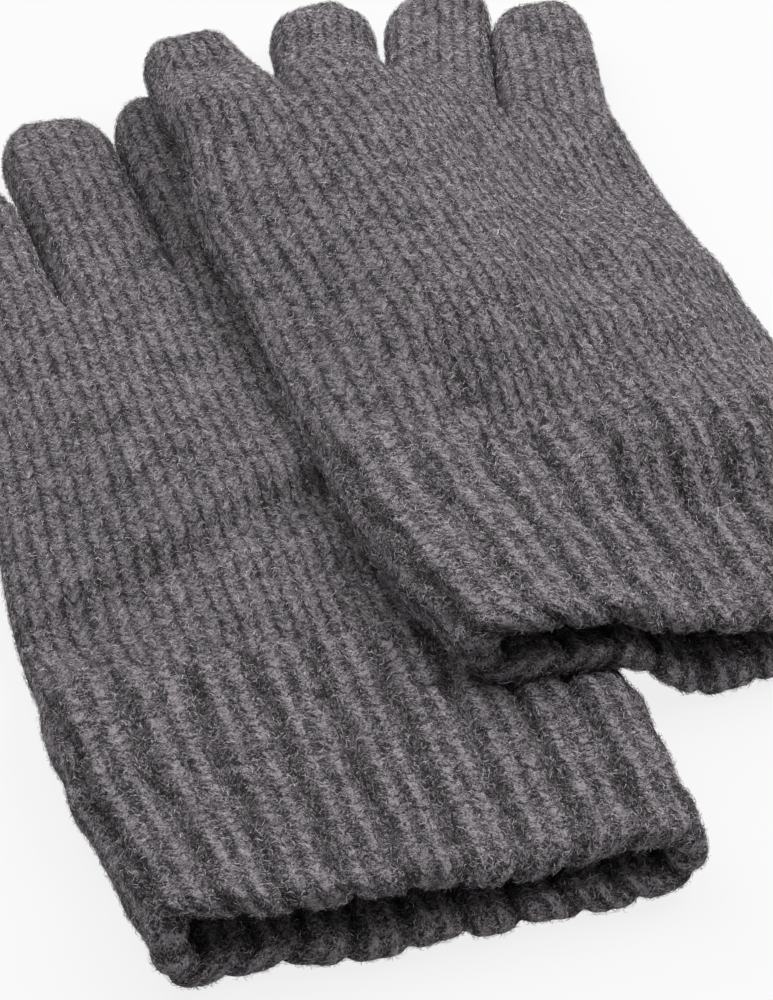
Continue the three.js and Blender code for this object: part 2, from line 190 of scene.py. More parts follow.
def draped_height(x, y):
    """How high the right glove's underside lies over the table, the left glove and both thumbs."""
    on_hand = on_left_glove(x, y) * (1 - smooth(LEFT_GLOVE_TIPS - 10, LEFT_GLOVE_TIPS + 20, y))
    left_glove = (glove_height(y, LEFT_CUFF_LENGTH) + REST_GAP) * on_hand
    along_thumb = between(LEFT_THUMB_FROM, LEFT_THUMB_TO, y)
    on_thumb = along_thumb * (1 - smooth(LEFT_GLOVE_EDGE + 40, LEFT_GLOVE_EDGE + 62, x))
    left_thumb = (THUMB_HEIGHT + REST_GAP) * on_thumb * (1 - on_hand)
    dx, dy = x - RIGHT_MOUTH[0], y - RIGHT_MOUTH[1]
    s = dx * math.cos(RIGHT_TURN) + dy * math.sin(RIGHT_TURN)
    along = dy * math.cos(RIGHT_TURN) - dx * math.sin(RIGHT_TURN)
    under_palm = (1 - smooth(-11, 14, s)) * smooth(RIGHT_CUFF_LENGTH, 91, along)
    under_palm = under_palm * (1 - smooth(169, 196, along))
    own_thumb = (THUMB_HEIGHT + 1.4 * REST_GAP) * under_palm
    return left_glove + left_thumb + own_thumb


def tucked_thumb_height(x, y):
    return 0 * x + HAND_HEIGHT + REST_GAP + TUCKED_THUMB_LIFT


def pressed(x, y):
    """How far the left glove is pressed down where the right cuff hangs over its edge."""
    return PRESSED_DEPTH * smooth(12, 47, x) * smooth(34, 54, y) * (1 - smooth(92, 128, y))


def bridged(x, y):
    """How much higher the right glove's back hangs than its palm, beside the left glove."""
    palm = on_left_glove(x, y) * (1 - pressed(x, y) / (MOUTH_HEIGHT + REST_GAP))
    on_cuff = 1 - smooth(14, 92, x)
    on_hand = 1 - smooth(SLOPE_START, SLOPE_START + 52, x)
    back = lerp(on_cuff, on_hand, smooth(96, 180, y))
    return (glove_height(y, LEFT_CUFF_LENGTH) + REST_GAP) * np.maximum(back - palm, 0)


class Glove:
    def __init__(self, name, side, cuff_length, fingers, mouth, turn, support, seed):
        self.name = name
        self.side = side
        self.cuff_length = cuff_length
        self.fingers = fingers
        self.mouth = mouth
        self.turn = turn
        self.support = support
        self.seed = seed

    def place(self, s, y, z, back=None):
        """Points of the flat glove, where they lie, in metres. back is 1 on the glove's back."""
        cos, sin = math.cos(self.turn), math.sin(self.turn)
        x = self.side * s
        px = self.mouth[0] + x * cos - y * sin
        py = self.mouth[1] + x * sin + y * cos
        pz = z + self.support(px, py)
        if back is not None and self.side < 0:
            pz = z * (1 - pressed(px, py) / glove_height(py, self.cuff_length))
        if back is not None and self.side > 0:
            pz = pz - pressed(px, py) * on_left_glove(px, py) + back * bridged(px, py)
        pz = np.maximum(pz, 0.0)
        return (np.stack([px, py, pz], axis=-1) + ORIGIN) * MM

    def point(self, s, y, z):
        return Vector(self.place(np.array(s), np.array(y), np.array(z)))

    def root_line(self, s):
        """Where the fingers begin, across the hand."""
        roots = np.array([self.fingers[n][0] for n in NAMES], float)
        at = np.clip(s / FINGER_PITCH + 1.5, 0, 3)
        low = np.minimum(np.floor(at).astype(int), 2)
        return lerp(roots[low], roots[low + 1], smooth(0, 1, at - low))


# Each finger's root, length, and lean towards the little finger in degrees.
LEFT = Glove(
    "left",
    -1,
    LEFT_CUFF_LENGTH,
    {"index": (191, 57, 0), "middle": (195, 61, 0), "ring": (192, 60, 0), "little": (186, 50, 0)},
    (0.0, 0.0),
    0.0,
    table_height,
    11,
)
RIGHT = Glove(
    "right",
    1,
    RIGHT_CUFF_LENGTH,
    {"index": (171, 50, 7), "middle": (178, 57, 17), "ring": (177, 54, 17.5), "little": (170, 49, 18)},
    RIGHT_MOUTH,
    RIGHT_TURN,
    draped_height,
    47,
)

# ---------- soft relief: folds, dents and puffs on the back of the hand ----------


def fold(s, y, line, rise, tail, height, reach):
    """A soft step up across a line of (s, y) points, that dies away over tail beyond it."""
    points = np.array(sorted(line), float)
    d = y - np.interp(s, points[:, 0], points[:, 1])
    across = smooth(-rise, rise, d) * (1 - smooth(rise, rise + tail, d))
    ends = smooth(points[0, 0] - reach, points[0, 0] + 2, s) * (
        1 - smooth(points[-1, 0] - 2, points[-1, 0] + reach, s)
    )
    return height * across * ends


def left_relief(s, y):
    """The deep crease above the cuff with the dent before it, two low folds, and soft unevenness."""
    x = -s
    z = fold(x, y, [(-46, 90), (-22, 95), (0, 107), (14, 112)], 4, 26, 3.2, 14)
    z = z - fold(x, y, [(-46, 80), (-22, 85), (0, 97), (14, 102)], 5, 7, 1.2, 14)
    z = z + fold(x, y, [(-40, 112), (-10, 124)], 4, 16, 1.3, 12)
    z = z + fold(x, y, [(-8, 84), (24, 90)], 4, 14, 1.2, 12)
    z = z + 0.8 * wobble(3, s, y, 70) + 0.3 * wobble(4, s, y, 26)
    return z * (1 - under_right_glove(s, y))


def under_right_glove(s, y):
    """The share by which the right glove's weight flattens the back of the left hand."""
    return 0.92 * smooth(8, 26, -s) * smooth(70, 84, y) * (1 - smooth(210, 235, y))


def right_relief(s, y):
    """Three low folds above the cuff, and soft unevenness."""
    z = fold(s, y, [(-42, 70), (-12, 67), (18, 74), (40, 70)], 4.0, 18, 1.4, 10)
    z = z + fold(s, y, [(-6, 84), (22, 79), (44, 88)], 3.5, 14, 1.5, 12)
    z = z + fold(s, y, [(10, 100), (30, 94), (46, 103)], 3.5, 14, 1.6, 10)
    return z + 0.9 * wobble(5, s, y, 64) + 0.35 * wobble(6, s, y, 24)


def relief(glove, s, y, up_share):
    """How far the knit stands off the plain shape: all of it on the back, and a little on the palm."""
    field = left_relief(s, y) if glove.side < 0 else right_relief(s, y)
    settled = smooth(glove.cuff_length, glove.cuff_length + 10, y)
    crown = CROWN * (1 - (np.clip(s, -HAND_WIDTH / 2, HAND_WIDTH / 2) / (HAND_WIDTH / 2)) ** 2)
    if glove.side < 0:
        crown = crown * (1 - under_right_glove(s, y))
    tips = 1 - smooth(glove.cuff_length + 130, glove.cuff_length + 175, y) * 0.6
    return np.clip(up_share, 0, 1) * settled * (field * tips + crown * tips)


# ---------- grids and meshes ----------


class Grid:
    """Rows of points round a tube: flat coordinates, and stitch coordinates with one more column."""

    def __init__(self, s, y, z, u, v):
        self.s, self.y, self.z, self.u, self.v = s, y, z, u, v

    def rows(self, start, stop):
        return Grid(*(a[start:stop] for a in (self.s, self.y, self.z, self.u, self.v)))


def grid_normals(points):
    """Outward normals of a grid of points whose rows close on themselves."""
    round_it = np.roll(points, -1, axis=1) - np.roll(points, 1, axis=1)
    along = np.gradient(points, axis=0)
    n = np.cross(along, round_it)
    n /= np.linalg.norm(n, axis=-1, keepdims=True) + 1e-12
    return n


def outward(points):
    """Grid normals, turned to point away from the tube's middle."""
    n = grid_normals(points)
    middle = points.mean(axis=1, keepdims=True)
    return n if np.sum(n[:1] * (points[:1] - middle[:1])) > 0 else -n


def make_object(name, points, faces, uv, material, smooth_faces=True):
    mesh = bpy.data.meshes.new(name)
    mesh.vertices.add(len(points))
    mesh.vertices.foreach_set("co", points.astype(np.float32).ravel())
    mesh.loops.add(faces.size)
    mesh.loops.foreach_set("vertex_index", faces.astype(np.int32).ravel())
    mesh.polygons.add(len(faces))
    mesh.polygons.foreach_set("loop_start", np.arange(0, faces.size, faces.shape[1], dtype=np.int32))
    layer = mesh.uv_layers.new(name="stitches")
    layer.data.foreach_set("uv", uv.astype(np.float32).ravel())
    mesh.polygons.foreach_set("use_smooth", np.full(len(faces), smooth_faces))
    mesh.materials.append(material)
    mesh.update(calc_edges=True)
    mesh.validate()
    obj = bpy.data.objects.new(name, mesh)
    bpy.context.scene.collection.objects.link(obj)
    return obj


def tube_faces(rows, count):
    r, i = np.meshgrid(np.arange(rows - 1), np.arange(count), indexing="ij")
    j = (i + 1) % count
    above = (r + 1) * count
    return np.stack([r * count + i, r * count + j, above + j, above + i], axis=-1).reshape(-1, 4)


def tube_uv(grid):
    u, v = grid.u, grid.v
    a = np.stack([u[:-1, :-1], v[:-1, :-1]], -1)
    b = np.stack([u[:-1, 1:], v[:-1, 1:]], -1)
    c = np.stack([u[1:, 1:], v[1:, 1:]], -1)
    d = np.stack([u[1:, :-1], v[1:, :-1]], -1)
    return np.stack([a, b, c, d], axis=2).reshape(-1, 2)


def tube(name, points, grid, material, flip):
    faces = tube_faces(*points.shape[:2])
    uv = tube_uv(grid)
    if flip:
        faces = faces[:, ::-1]
        uv = uv.reshape(-1, 4, 2)[:, ::-1].reshape(-1, 2)
    return make_object(name, points.reshape(-1, 3), faces, uv, material)


# ---------- materials ----------


class Shader:
    """A material's node tree, with short calls for the nodes used here."""

    def __init__(self, name):
        self.material = bpy.data.materials.new(name)
        self.material.use_nodes = True
        self.nodes = self.material.node_tree.nodes
        self.links = self.material.node_tree.links
        self.surface = next(n for n in self.nodes if n.type == "BSDF_PRINCIPLED")

    def put(self, value, socket):
        if isinstance(value, bpy.types.NodeSocket):
            self.links.new(value, socket)
        else:
            socket.default_value = value

    def math(self, operation, a, b=0.0, c=0.0):
        node = self.nodes.new("ShaderNodeMath")
        node.operation = operation
        for value, socket in zip((a, b, c), node.inputs):
            self.put(value, socket)
        return node.outputs[0]

    def noise(self, vector, scale, detail=2.0, roughness=0.5, distortion=0.0):
        node = self.nodes.new("ShaderNodeTexNoise")
        self.put(vector, node.inputs["Vector"])
        node.inputs["Scale"].default_value = scale
        node.inputs["Detail"].default_value = detail
        node.inputs["Roughness"].default_value = roughness
        node.inputs["Distortion"].default_value = distortion
        return node.outputs[0]

    def contour(self, value, level, width):
        """1 on the thin lines where value passes level, and 0 away from them."""
        away = self.math("ABSOLUTE", self.math("SUBTRACT", value, level))
        return self.ramp(away, 0.0, width, 1.0, 0.0)

    def random(self, vector):
        node = self.nodes.new("ShaderNodeTexWhiteNoise")
        node.noise_dimensions = "3D"
        self.put(vector, node.inputs["Vector"])
        return node.outputs["Value"]

    def vector(self, x, y, z):
        node = self.nodes.new("ShaderNodeCombineXYZ")
        for value, socket in zip((x, y, z), node.inputs):
            self.put(value, socket)
        return node.outputs[0]

    def ramp(self, value, low, high, to_low=0.0, to_high=1.0):
        node = self.nodes.new("ShaderNodeMapRange")
        node.interpolation_type = "SMOOTHSTEP"
        for given, socket in zip((value, low, high, to_low, to_high), node.inputs):
            self.put(given, socket)
        return node.outputs[0]

    def mix(self, share, a, b):
        node = self.nodes.new("ShaderNodeMix")
        node.data_type = "RGBA"
        self.put(share, node.inputs[0])
        self.put(a, node.inputs[6])
        self.put(b, node.inputs[7])
        return node.outputs[2]

    def coordinates(self, output):
        return self.nodes.new("ShaderNodeTexCoord").outputs[output]

    def split(self, vector):
        node = self.nodes.new("ShaderNodeSeparateXYZ")
        self.put(vector, node.inputs[0])
        return node.outputs

    def bump(self, height, distance, strength=1.0):
        node = self.nodes.new("ShaderNodeBump")
        node.inputs["Strength"].default_value = strength
        node.inputs["Distance"].default_value = distance
        self.put(height, node.inputs["Height"])
        return node.outputs[0]


def knit_material(name, dark, light, ribbed=False, tone=1.0):
    m = Shader(name)
    u, v, _ = m.split(m.coordinates("UV"))
    place = m.coordinates("Object")

    # The stitches wander a little, as brushed knit does.
    drift = m.noise(place, 160.0, 2.0)
    u = m.math("ADD", u, m.math("MULTIPLY", m.math("SUBTRACT", drift, 0.5), 0.28))
    drift_v = m.noise(m.vector(u, v, 7.0), 0.35, 2.0)
    v = m.math("ADD", v, m.math("MULTIPLY", m.math("SUBTRACT", drift_v, 0.5), 1.1))

    if ribbed:
        # In the rib the two knit wales swell, and the two purl wales shrink into the valley.
        across_rib = m.math("ABSOLUTE", m.math("WRAP", u, 2.0, -2.0))
        knit = m.math("MINIMUM", m.math("DIVIDE", across_rib, 1.5), 1.0)
        purl = m.math("MULTIPLY", m.math("MAXIMUM", m.math("SUBTRACT", across_rib, 1.5), 0.0), 2.0)
        wale = m.math("ADD", knit, purl)
        valley = m.ramp(across_rib, 1.2, 1.8)
    else:
        wale = u
        valley = 0.0

    # x is 0 down the middle of a wale and 1 at its edges; the two legs of each V rise outwards.
    x = m.math("SUBTRACT", 1.0, m.math("MULTIPLY", m.math("PINGPONG", wale, 0.5), 2.0))
    row = m.math("SUBTRACT", v, m.math("MULTIPLY", x, 0.8))
    along = m.math("SINE", m.math("MULTIPLY", m.math("FRACT", row), math.pi))
    leg_across = m.math("ADD", m.math("MULTIPLY", x, 0.86), 0.12)
    across = m.math("SINE", m.math("MULTIPLY", leg_across, math.pi))
    across = m.math("POWER", m.math("MAXIMUM", across, 0.0), 0.6)
    leg = m.math("MULTIPLY", m.math("POWER", along, 0.6), across)

    # Fibres: each leg's own tone, streaks along the yarn, flecks, and longer light and dark patches; then
    # painted shade and painted highlights that follow the stitches' relief.
    one_leg = m.random(m.vector(m.math("FLOOR", m.math("MULTIPLY", u, 2.0)), m.math("FLOOR", row), 3.0))
    in_wale, in_row = m.math("MULTIPLY", x, 1.4), m.math("MULTIPLY", row, 6.5)
    streak_at = m.vector(in_wale, in_row, m.math("FLOOR", wale))
    streak = m.noise(streak_at, 1.0, 3.0, 0.7)
    fleck = m.noise(place, 2700.0, 3.0, 0.75, 0.8)
    tuft = m.noise(place, 1100.0, 3.0, 0.7, 1.2)
    patch = m.noise(place, 140.0, 3.0, 0.6)
    hair_a = m.noise(place, 520.0, 2.0, 0.6, 3.0)
    hair_b = m.noise(place, 760.0, 2.0, 0.6, 3.5)
    hair_c = m.noise(place, 1100.0, 2.0, 0.6, 3.0)
    light_hairs = m.math("ADD", m.contour(hair_a, 0.5, 0.035), m.contour(hair_b, 0.52, 0.05))
    dark_hairs = m.math("ADD", m.contour(hair_c, 0.47, 0.05), m.contour(hair_a, 0.42, 0.03))
    hairs = m.math("SUBTRACT", light_hairs, m.math("MULTIPLY", dark_hairs, 0.8))
    fibre = m.math("ADD", m.math("MULTIPLY", streak, 0.26), m.math("MULTIPLY", fleck, 0.36))
    fibre = m.math("ADD", fibre, m.math("MULTIPLY", tuft, 0.38))
    share = m.ramp(fibre, 0.36, 0.66, -0.36 if ribbed else -0.20, 0.86 if ribbed else 0.68)
    share = m.math("ADD", share, m.ramp(one_leg, 0.0, 1.0, -0.09, 0.15))
    share = m.math("ADD", share, m.ramp(patch, 0.32, 0.68, -0.06, 0.06))
    # Painted shade in the gaps between the stitch legs, and a painted highlight on the legs.
    share = m.math("ADD", share, m.ramp(leg, 0.05, 0.95, -0.12, 0.06))
    if ribbed:
        # Painted highlight down the middle of each rib's knit wales, and painted shade in the valleys
        # between the ribs.
        painted_rib_highlight = m.math("MULTIPLY", m.ramp(x, 0.05, 0.6, 0.30, -0.07), m.math("SUBTRACT", 1.0, valley))
        share = m.math("ADD", share, m.math("MULTIPLY", painted_rib_highlight, m.ramp(leg, 0.0, 1.0, 0.4, 1.3)))
        share = m.math("SUBTRACT", share, m.math("MULTIPLY", valley, 0.14))
        share = m.math("ADD", share, m.math("MULTIPLY", hairs, 0.42))
    else:
        # Painted highlight down the middle of each wale, and painted shade at its edges.
        share = m.math("ADD", share, m.ramp(x, 0.25, 0.95, 0.08, -0.13))
        share = m.math("ADD", share, m.math("MULTIPLY", hairs, 0.20))
    if ribbed:
        share = m.math("ADD", m.math("MULTIPLY", share, 1.4), -0.16)
    share = m.math("MAXIMUM", m.math("MINIMUM", share, 1.6), 0.0)
    colour = m.mix(share, (*[c * tone for c in dark], 1), (*[c * tone for c in light], 1))
    m.put(colour, m.surface.inputs["Base Color"])
    m.surface.inputs["Roughness"].default_value = 0.95
    m.surface.inputs["Specular IOR Level"].default_value = 0.12
    m.surface.inputs["Sheen Weight"].default_value = 0.04
    m.surface.inputs["Sheen Roughness"].default_value = 0.6
    height = m.math("ADD", m.math("MULTIPLY", leg, 0.45), m.math("MULTIPLY", streak, 0.4))
    height = m.math("SUBTRACT", height, m.math("MULTIPLY", x, 0.35))
    height = m.math("ADD", height, m.math("MULTIPLY", m.math("ADD", fleck, tuft), 0.6))
    m.put(m.bump(height, 0.0010, 1.0), m.surface.inputs["Normal"])
    return m.material


def fuzz_material():
    m = Shader("brushed_fibre")
    u, _, _ = m.split(m.coordinates("UV"))
    colour = m.mix(m.ramp(u, 0.0, 1.0), (0.012, 0.0108, 0.0117, 1), (0.62, 0.57, 0.61, 1))
    m.put(colour, m.surface.inputs["Base Color"])
    m.surface.inputs["Roughness"].default_value = 0.8
    m.surface.inputs["Specular IOR Level"].default_value = 0.2
    return m.material


def label_material():
    m = Shader("satin_label")
    u, v, _ = m.split(m.coordinates("UV"))
    weave = m.math("SINE", m.math("MULTIPLY", v, 220.0))
    colour = m.mix(m.ramp(weave, -1, 1), (0.022, 0.022, 0.024, 1), (0.036, 0.036, 0.038, 1))
    m.put(colour, m.surface.inputs["Base Color"])
    m.surface.inputs["Roughness"].default_value = 0.55
    warp = m.math("SINE", m.math("MULTIPLY", u, 160.0))
    m.put(m.bump(m.math("ADD", weave, warp), 0.00005), m.surface.inputs["Normal"])
    return m.material


DARK = (0.014, 0.0128, 0.0138)
LIGHT = (0.43, 0.393, 0.42)
PLAIN = knit_material("plain_knit", DARK, LIGHT)
# The rib knit's tone of 0.81 is painted shade: the ribbed cuffs are darkened as if by the ribs' own shadow.
RIBBED = knit_material("rib_knit", DARK, LIGHT, ribbed=True, tone=0.81)
TOUCH = knit_material("conductive_knit", DARK, LIGHT, tone=0.93)
FUZZ = fuzz_material()
LABEL = label_material()

# ---------- sections ----------


def edge_radius(half_width, half_height):
    """How far in from the edge of a finger or thumb its back starts to round off."""
    return np.minimum(half_height * 0.72, half_width * 0.97)


def half_section(q, half_width, half_height):
    """The upper half of a flattened tube, at q from -1 to 1 across it: across, and up."""
    edge = edge_radius(half_width, half_height)
    flat = half_width - edge
    quarter = flat + edge * math.pi / 2
    d = np.abs(q) * quarter
    angle = np.clip((d - flat) / edge, 0, math.pi / 2)
    across = np.where(d < flat, d, flat + edge * np.sin(angle))
    return np.sign(q) * across, half_height * np.cos(angle)


def quarter_length(s, half_width, edge):
    """The length round the section from the middle of the back to the point above s."""
    flat = half_width - edge
    over = np.clip((np.abs(s) - flat) / edge, 0, 1)
    return np.sign(s) * (np.minimum(np.abs(s), flat) + edge * np.arcsin(over))


def ring_stitches(across, half_width, half_height, stitches):
    """Stitches round a finger or thumb, from the middle of its back."""
    edge = edge_radius(half_width, half_height)
    around = quarter_length(across, half_width, edge) / quarter_length(half_width, half_width, edge)
    top = around * stitches / 4
    bottom = stitches / 2 - top[:, -2:0:-1]
    return np.concatenate([top, bottom, top[:, :1] + stitches], axis=1)


# ---------- the cuff ----------


def cuff_grid(glove):
    """The cuff's tube from its outer layer round the lip to its facing, and how far along each row is."""
    length = glove.cuff_length
    ring = CUFF_STITCHES * CUFF_POINTS_PER_STITCH
    t = np.arange(ring + 1) / ring
    outer_y = np.concatenate(
        [np.linspace(length + 2.2, length - 3, 9), np.linspace(length - 3.8, 0.6, 84)]
    )
    turn = np.linspace(0, math.pi, 17)
    lip_y = -LIP / 2 * np.sin(turn)
    lip_inset = LIP / 2 * (1 - np.cos(turn))
    inner_y = np.linspace(0.8, 46, 46)
    y = np.concatenate([outer_y, lip_y, inner_y])[:, None]
    inset = np.concatenate([np.zeros(len(outer_y)), lip_inset, np.full(len(inner_y), LIP)])[:, None]
    steps = np.hypot(np.diff(y[:, 0]), np.diff(inset[:, 0]))
    travelled = np.concatenate([[0], np.cumsum(steps)])[:, None]

    at = np.clip(y / length, 0, 1)
    half_width = lerp(CUFF_WIDTH, HAND_WIDTH, at) / 2 - inset
    half_height = glove_height(np.maximum(y, 0), length) / 2 - inset
    flat = half_width - half_height
    perimeter = 4 * flat + 2 * math.pi * half_height
    d = (t[None, :] * perimeter + perimeter / 4) % perimeter  # from one edge's middle over the back
    quarter = perimeter / 4
    which = np.floor(d / quarter + 1e-9).astype(int) % 4
    part = d - np.floor(d / quarter + 1e-9) * quarter
    from_edge = np.where(which % 2 == 0, part, quarter - part)
    from_middle = quarter - from_edge
    angle = np.clip((from_middle - flat) / half_height, 0, math.pi / 2)
    a = np.where(from_middle < flat, from_middle, flat + half_height * np.sin(angle))
    b = half_height * np.cos(angle)
    s = np.where((which == 0) | (which == 3), -a, a)
    z = inset + half_height + np.where(which < 2, b, -b)
    yy = y + np.zeros_like(d)

    # The stitches are counted from the middle of the back, where t is 0.
    u = t[None, :] * CUFF_STITCHES + 0.0 * y
    v = (length - travelled) / ROW + 0.0 * t[None, :]
    return Grid(s, yy, z, u, v), travelled


def spread(glove, s, y):
    """How far the edge that shows is stretched outwards, about the wrist."""
    if glove.side < 0:
        by_edge = smooth(0, HAND_WIDTH / 2, s)
        return 4.5 * by_edge**2 * smooth(0, 50, y) * (1 - smooth(84, 150, y))
    by_edge = 1 - smooth(-HAND_WIDTH / 2, -18, s)
    amount = lerp(3.5, 6.5, smooth(0, 24, y)) * (1 - smooth(70, 112, y))
    amount = amount + 3.5 * smooth(70, 112, y) * (1 - smooth(140, 168, y))
    return -amount * by_edge**2


def short_cuff(glove, s):
    """How much nearer the mouth the rib begins than the plain shape's cuff ends."""
    return RIB_SHIFT * smooth(-46, 18, s) if glove.side > 0 else 0.0 * s


def cuff_points(glove):
    """The cuff's grid, and its points on the table, with ribs, a wavy mouth and soft edges."""
    grid, travelled = cuff_grid(glove)
    s, y, z = grid.s[:, :-1], grid.y[:, :-1], grid.z[:, :-1]
    flat = np.stack([s, y, z], -1)
    n = outward(flat)
    u = grid.u[:, :-1]
    length = glove.cuff_length
    # The ribs wander, and stand highest near the lip.
    ring = 2 * math.pi * u / CUFF_STITCHES
    wander = 0.35 * wobble(glove.seed, 15 * np.cos(ring), travelled + 15 * np.sin(ring), 22)
    in_rib = np.abs((u + wander + 2) % 4 - 2)  # 0 on a rib's middle, 2 in the valley
    valley = np.exp(-(((2 - in_rib) / 0.50) ** 2))
    middle = np.exp(-((in_rib / 0.34) ** 2))
    ridge = 0.55 - 2.0 * valley - 0.42 * middle
    wave = np.cos(in_rib * math.pi / 2)
    start = smooth(0, 6.5, travelled)
    on_lip = np.exp(-(((travelled - length - 5) / 8) ** 2))
    deep = 1 - 0.55 * smooth(length + 12, length + 30, travelled)
    size = (0.95 - 0.40 * on_lip) * deep * start
    lift = size * ridge
    soft = 0.32 * wobble(glove.seed + 1, 15 * np.cos(ring) + u, travelled, 17) * start
    lumps = 0.35 * on_lip * wobble(glove.seed + 3, u * 1.5, travelled, 9)
    step = -0.9 * (1 - start)
    flat = flat + n * (lift + soft + lumps + step + 0.35 * start)[..., None]
    # The mouth's edge isn't straight: it bows between the ribs and along its length.
    near = 1 - smooth(0, 26, np.abs(travelled - length - LIP))
    bow = wobble(glove.seed + 2, s, z * 3, 46)
    flat[..., 1] += near * (bow - 0.25 * on_lip * np.maximum(wave, 0))
    # The back of the mouth sags between its edges, and its palm reaches further out.
    upper = smooth(glove_height(y, length) * 0.35, glove_height(y, length) * 0.8, z)
    sag = upper * near * 1.2 * wobble(glove.seed + 5, s, 0 * s, 60)
    reach = 1.6 if glove.side < 0 else -0.5
    if glove.side > 0:
        sag = sag - 2.2 * upper * near * smooth(-44, -10, s)
    flat[..., 2] += sag
    flat[..., 1] -= (1 - upper) * near * reach * np.clip(1 - (s / (CUFF_WIDTH / 2)) ** 2, 0, 1)
    flat[..., 0] += spread(glove, s, y)
    flat[..., 1] -= short_cuff(glove, s) * smooth(8, length, y)
    return grid, glove.place(flat[..., 0], flat[..., 1], flat[..., 2], upper)


# ---------- the hand and the fingers ----------


def lobes():
    """The hand's ring of points as four fingers side by side: s, up, and 1 for the back."""
    q = np.linspace(-1, 1, STEPS + 1)
    across, up = half_section(q, FINGER_PITCH / 2, HAND_HEIGHT / 2)
    centres = (np.arange(4) - 1.5) * FINGER_PITCH
    top_s = np.concatenate([centres[i] + across[: -1 if i < 3 else None] for i in range(4)])
    top_up = np.concatenate([up[: -1 if i < 3 else None] for i in range(4)])
    s = np.concatenate([top_s, top_s[-2:0:-1]])
    level = np.concatenate([top_up, -top_up[-2:0:-1]])
    back = np.concatenate([np.ones(len(top_s)), -np.ones(len(top_s) - 2)])
    return s, level, back


def hand_stitches(s, back):
    """Stitches round the hand, from the middle of the back."""
    around = quarter_length(s, HAND_WIDTH / 2, HAND_HEIGHT / 2)
    half = 2 * quarter_length(np.array(HAND_WIDTH / 2), HAND_WIDTH / 2, HAND_HEIGHT / 2)
    return np.where(back > 0, around, half - around) * (HAND_STITCHES / (2 * half))


def hand_grid(glove):
    """The hand's tube from inside the cuff to the fingers' roots, and how far each point is on its back."""
    s, level, back = lobes()
    start = glove.cuff_length - 6.0
    share = np.linspace(0, 1, HAND_ROWS)[:, None]
    end = glove.root_line(s)[None, :]
    y = start + (end - start) * share
    s = s[None, :] + 0 * y
    to_root = end - y
    thin = 0.40 * smooth(0.35, 1.0, np.abs(s) / (HAND_WIDTH / 2)) * smooth(2, 34, to_root)
    thin = thin * smooth(glove.cuff_length - 2, glove.cuff_length + 16, y)
    half_height = glove_height(y, glove.cuff_length) / 2 * (1 - thin)
    flat = HAND_WIDTH / 2 - half_height
    plain = half_height * np.sqrt(1 - np.clip((np.abs(s) - flat) / half_height, 0, 1) ** 2)
    lobed = np.abs(level)[None, :] * (half_height / (HAND_HEIGHT / 2))
    groove = (1 - smooth(0, 16, to_root)) ** 1.5
    size = lerp(plain, lobed, groove)
    edge_share = size / half_height
    tucked = 1 - smooth(start, start + 6.5, y)
    size = size - 1.6 * tucked
    s = s * (1 - 0.025 * tucked)
    z = half_height + np.where(back > 0, size, -size)
    if glove.side > 0:
        # The thumb's side of the upper glove sinks over the folded thumb to the glove below.
        by_edge = 1 - smooth(-HAND_WIDTH / 2, -27, s)
        on_palm = between((66, 92), (138, 166), y)
        z = z - SUNK_DEPTH * by_edge * on_palm
    back_share = np.where(back > 0, edge_share, 0)
    z = z + relief(glove, s, y, back_share)
    u = hand_stitches(s, back)
    shift = short_cuff(glove, s) * (1 - smooth(glove.cuff_length, glove.cuff_length + 60, y))
    s, y = s + spread(glove, s, y), y - shift
    u = np.concatenate([u, u[:, :1] + HAND_STITCHES], axis=1)
    v = y / ROW
    v = np.concatenate([v, v[:, :1]], axis=1)
    return Grid(s, y, z, u, v), back_share


# How each finger differs from the plain shape: shorter in mm, turned in degrees, its tip narrower.
RESTING = {
    ("left", "index"): (0.0, 1.0, 0.0),
    ("left", "middle"): (0.0, 1.2, 0.0),
    ("left", "ring"): (0.0, 1.4, -0.02),
    ("left", "little"): (4.0, 2.0, 0.0),
    ("right", "index"): (2.5, 0.0, 0.22),
    ("right", "middle"): (0.0, 0.5, 0.13),
    ("right", "ring"): (0.0, 2.6, -0.05),
    ("right", "little"): (0.0, -2.4, 0.0),
}


